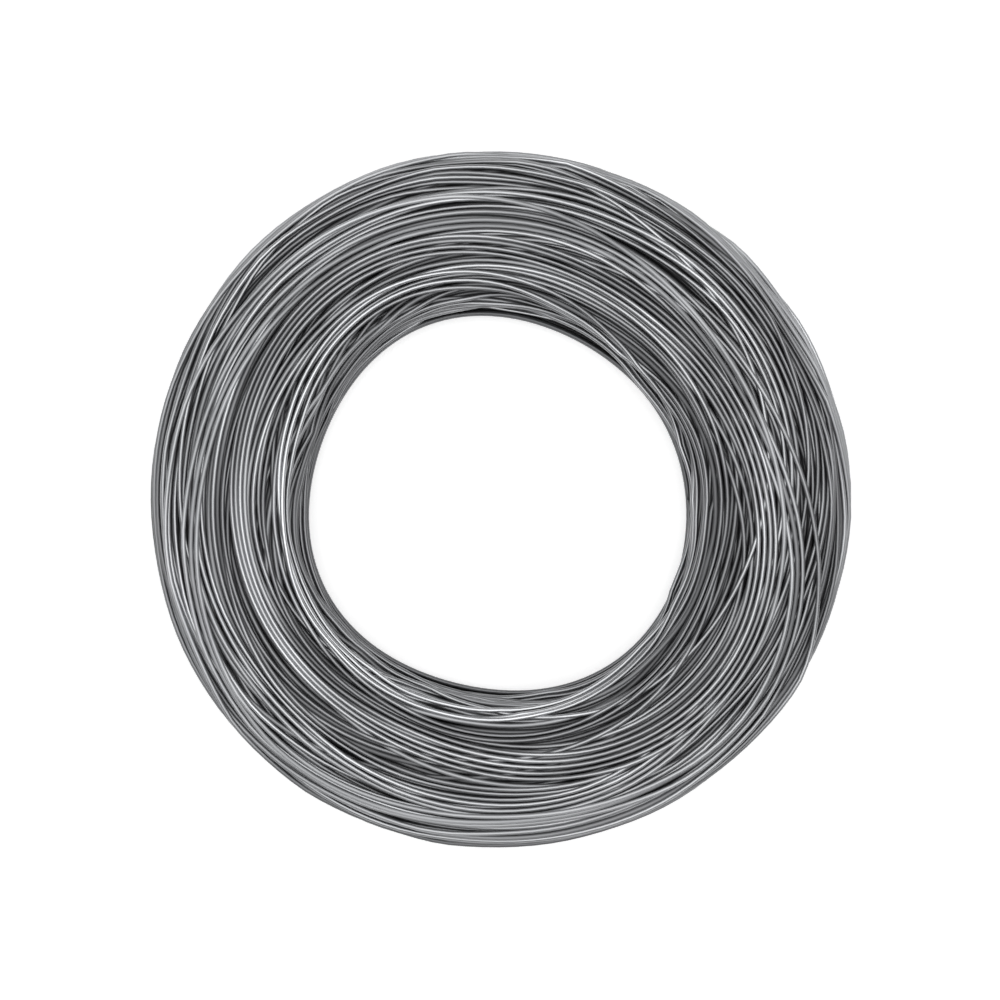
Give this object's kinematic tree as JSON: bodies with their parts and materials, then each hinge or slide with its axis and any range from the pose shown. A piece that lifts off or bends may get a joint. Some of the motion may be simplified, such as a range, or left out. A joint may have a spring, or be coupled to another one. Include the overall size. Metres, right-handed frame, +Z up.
{
  "type": "coil of wire rod",
  "caption": "Coil of bright steel wire rod lying flat: an open ring of closely laid turns with a round eye through its middle.",
  "frame": {"origin": "on the floor, under the middle of the coil's eye", "axes": "+Z up along the axis of the coil, +Y towards the top of the picture, +X towards its right"},
  "size_m": [0.82, 0.82, 0.13],
  "materials": {
    "steel_wire": "bright drawn steel wire, slightly cool grey, with fine drawing lines along it and small changes of tone from turn to turn"
  },
  "bodies": {
    "root": {"wire_coil": "steel_wire"}
  },
  "joints": []
}
